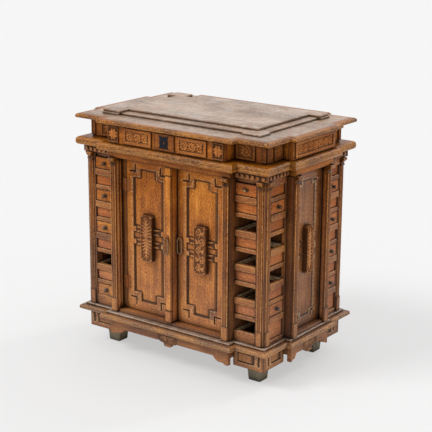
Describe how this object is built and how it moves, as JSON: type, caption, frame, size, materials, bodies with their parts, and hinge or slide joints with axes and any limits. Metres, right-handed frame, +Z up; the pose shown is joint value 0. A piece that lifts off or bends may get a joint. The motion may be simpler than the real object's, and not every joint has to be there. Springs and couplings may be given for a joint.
{
  "type": "vargueno",
  "caption": "Small oak vargueno: table cabinet with a hinged lid, two framed doors, carved frieze, and corner towers of little side and front drawers.",
  "frame": {"origin": "middle of the footprint, on the floor", "axes": "X right, Y back, Z up"},
  "size_m": [0.678, 0.472, 0.681],
  "materials": {
    "oak": "waxed oak, satin",
    "drawer_wood": "redder oak, satin",
    "top_wood": "pale worn oak, polished",
    "foot_wood": "dull oak",
    "inner_wood": "bare oak",
    "iron": "dark, worn"
  },
  "bodies": {
    "case": {"aprons": "oak", "base_blocks": "oak", "base_moulding": "oak", "bay_posts": "oak", "bay_rails": "oak", "capitals": "oak", "case_walls": "oak", "compartment_floor": "inner_wood", "corner_posts": "oak", "cupboard_shelf": "inner_wood", "dentils": "oak", "feet": "foot_wood", "fixed_bosses": "oak", "fixed_frames": "oak", "fixed_frets": "oak", "fixed_panels": "oak", "frieze_boards": "oak", "frieze_carvings": "oak", "head_rails": "oak", "hinge_leaves": "iron", "lock": "iron", "mid_cornice": "oak", "pilasters": "oak", "plinth": "oak", "tower_panels": "drawer_wood", "tower_rails": "oak", "tower_runners": "inner_wood", "tower_stiles": "oak"},
    "lid": {"lid_slab": "top_wood", "lid_lower_tier": "top_wood", "lid_upper_tier": "top_wood", "lid_irons": "iron"},
    "left_door": {"left_door_frame": "oak", "left_door_panel": "oak", "left_door_fret": "oak", "left_door_boss": "oak", "left_door_irons": "iron", "astragal": "oak"},
    "right_door": {"right_door_frame": "oak", "right_door_panel": "oak", "right_door_fret": "oak", "right_door_boss": "oak", "right_door_irons": "iron"},
    "left_bail_ring": {"left_bail": "iron"},
    "right_bail_ring": {"right_bail": "iron"},
    "right_front_drawer_5_box": {"right_front_drawer_5": "drawer_wood"},
    "left_front_drawer_1_box": {"left_front_drawer_1": "drawer_wood"},
    "left_front_drawer_3_box": {"left_front_drawer_3": "drawer_wood"},
    "left_front_drawer_4_box": {"left_front_drawer_4": "drawer_wood"},
    "left_front_drawer_5_box": {"left_front_drawer_5": "drawer_wood"},
    "front_right_side_drawer_1_box": {"front_right_side_drawer_1": "drawer_wood"},
    "front_right_side_drawer_4_box": {"front_right_side_drawer_4": "drawer_wood"},
    "back_right_side_drawer_1_box": {"back_right_side_drawer_1": "drawer_wood"},
    "back_right_side_drawer_2_box": {"back_right_side_drawer_2": "drawer_wood"},
    "back_right_side_drawer_3_box": {"back_right_side_drawer_3": "drawer_wood"},
    "back_right_side_drawer_4_box": {"back_right_side_drawer_4": "drawer_wood"},
    "front_left_side_drawer_1_box": {"front_left_side_drawer_1": "drawer_wood"},
    "front_left_side_drawer_4_box": {"front_left_side_drawer_4": "drawer_wood"},
    "back_left_side_drawer_2_box": {"back_left_side_drawer_2": "drawer_wood"},
    "back_left_side_drawer_3_box": {"back_left_side_drawer_3": "drawer_wood"}
  },
  "joints": [
    {"name": "lid_hinge", "type": "hinge", "parent": "case", "child": "lid", "pos_m": [0, 0.2275, 0.6525], "axis": [-1, 0, 0], "range_deg": [0, 90]},
    {"name": "left_door_hinge", "type": "hinge", "parent": "case", "child": "left_door", "pos_m": [-0.16725, -0.184, 0.33], "axis": [0, 0, -1], "range_deg": [0, 100]},
    {"name": "right_door_hinge", "type": "hinge", "parent": "case", "child": "right_door", "pos_m": [0.16725, -0.184, 0.33], "axis": [0, 0, 1], "range_deg": [0, 100]},
    {"name": "left_bail_swing", "type": "hinge", "parent": "left_door", "child": "left_bail_ring", "pos_m": [-0.003, -0.216, 0.365], "axis": [-1, 0, 0], "range_deg": [0, 75]},
    {"name": "right_bail_swing", "type": "hinge", "parent": "right_door", "child": "right_bail_ring", "pos_m": [0.021, -0.187, 0.365], "axis": [-1, 0, 0], "range_deg": [0, 75]},
    {"name": "right_front_drawer_5_slide", "type": "slide", "parent": "case", "child": "right_front_drawer_5_box", "axis": [0, -1, 0], "range_m": [0, 0.075]},
    {"name": "left_front_drawer_1_slide", "type": "slide", "parent": "case", "child": "left_front_drawer_1_box", "axis": [0, -1, 0], "range_m": [0, 0.075]},
    {"name": "left_front_drawer_3_slide", "type": "slide", "parent": "case", "child": "left_front_drawer_3_box", "axis": [0, -1, 0], "range_m": [0, 0.075]},
    {"name": "left_front_drawer_4_slide", "type": "slide", "parent": "case", "child": "left_front_drawer_4_box", "axis": [0, -1, 0], "range_m": [0, 0.075]},
    {"name": "left_front_drawer_5_slide", "type": "slide", "parent": "case", "child": "left_front_drawer_5_box", "axis": [0, -1, 0], "range_m": [0, 0.075]},
    {"name": "front_right_side_drawer_1_slide", "type": "slide", "parent": "case", "child": "front_right_side_drawer_1_box", "axis": [1, 0, 0], "range_m": [0, 0.075]},
    {"name": "front_right_side_drawer_4_slide", "type": "slide", "parent": "case", "child": "front_right_side_drawer_4_box", "axis": [1, 0, 0], "range_m": [0, 0.075]},
    {"name": "back_right_side_drawer_1_slide", "type": "slide", "parent": "case", "child": "back_right_side_drawer_1_box", "axis": [1, 0, 0], "range_m": [0, 0.075]},
    {"name": "back_right_side_drawer_2_slide", "type": "slide", "parent": "case", "child": "back_right_side_drawer_2_box", "axis": [1, 0, 0], "range_m": [0, 0.075]},
    {"name": "back_right_side_drawer_3_slide", "type": "slide", "parent": "case", "child": "back_right_side_drawer_3_box", "axis": [1, 0, 0], "range_m": [0, 0.075]},
    {"name": "back_right_side_drawer_4_slide", "type": "slide", "parent": "case", "child": "back_right_side_drawer_4_box", "axis": [1, 0, 0], "range_m": [0, 0.075]},
    {"name": "front_left_side_drawer_1_slide", "type": "slide", "parent": "case", "child": "front_left_side_drawer_1_box", "axis": [-1, 0, 0], "range_m": [0, 0.075]},
    {"name": "front_left_side_drawer_4_slide", "type": "slide", "parent": "case", "child": "front_left_side_drawer_4_box", "axis": [-1, 0, 0], "range_m": [0, 0.075]},
    {"name": "back_left_side_drawer_2_slide", "type": "slide", "parent": "case", "child": "back_left_side_drawer_2_box", "axis": [-1, 0, 0], "range_m": [0, 0.075]},
    {"name": "back_left_side_drawer_3_slide", "type": "slide", "parent": "case", "child": "back_left_side_drawer_3_box", "axis": [-1, 0, 0], "range_m": [0, 0.075]}
  ]
}
